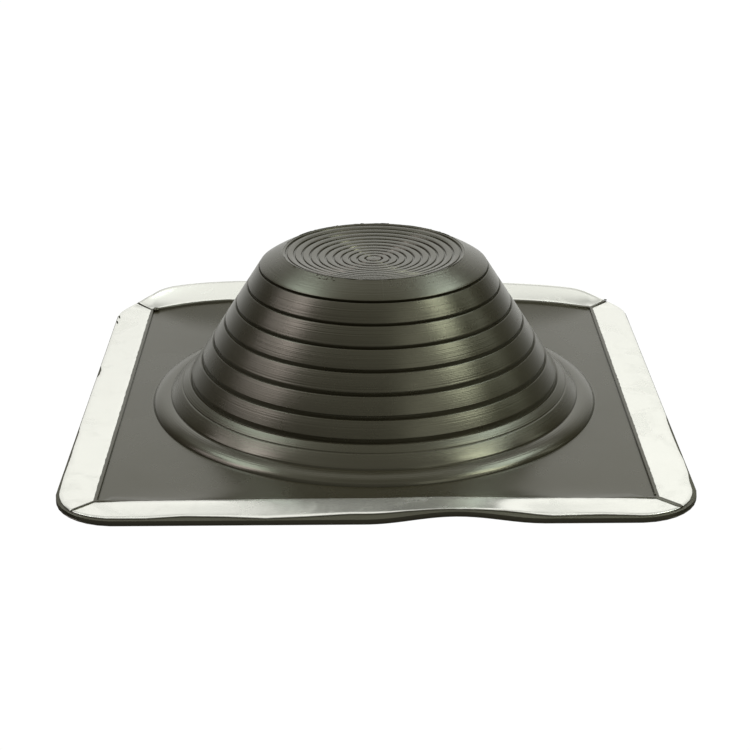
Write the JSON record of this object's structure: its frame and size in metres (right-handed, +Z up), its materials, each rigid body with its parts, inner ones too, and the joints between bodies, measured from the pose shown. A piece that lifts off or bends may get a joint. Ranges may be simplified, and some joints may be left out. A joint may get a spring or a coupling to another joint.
{
  "type": "pipe flashing boot",
  "caption": "Square rubber roof flashing with a stepped cone, a closed dished top to cut open for a pipe, and soft aluminium edge strips.",
  "frame": {"origin": "centre of the square sheet, on its underside, straight below the cone's axis", "axes": "+Z up along the cone's axis, away from the roof; +X and +Y along the sides of the sheet, -Y towards the front edge"},
  "size_m": [0.434, 0.434, 0.1193],
  "materials": {
    "black_rubber": "satin, moulded EPDM",
    "soft_aluminium": "bright mill finish, lightly scuffed"
  },
  "bodies": {
    "root": {"rubber_boot": "black_rubber", "edge_strip_front": "soft_aluminium", "edge_strip_back": "soft_aluminium", "edge_strip_left": "soft_aluminium", "edge_strip_right": "soft_aluminium"}
  },
  "joints": []
}
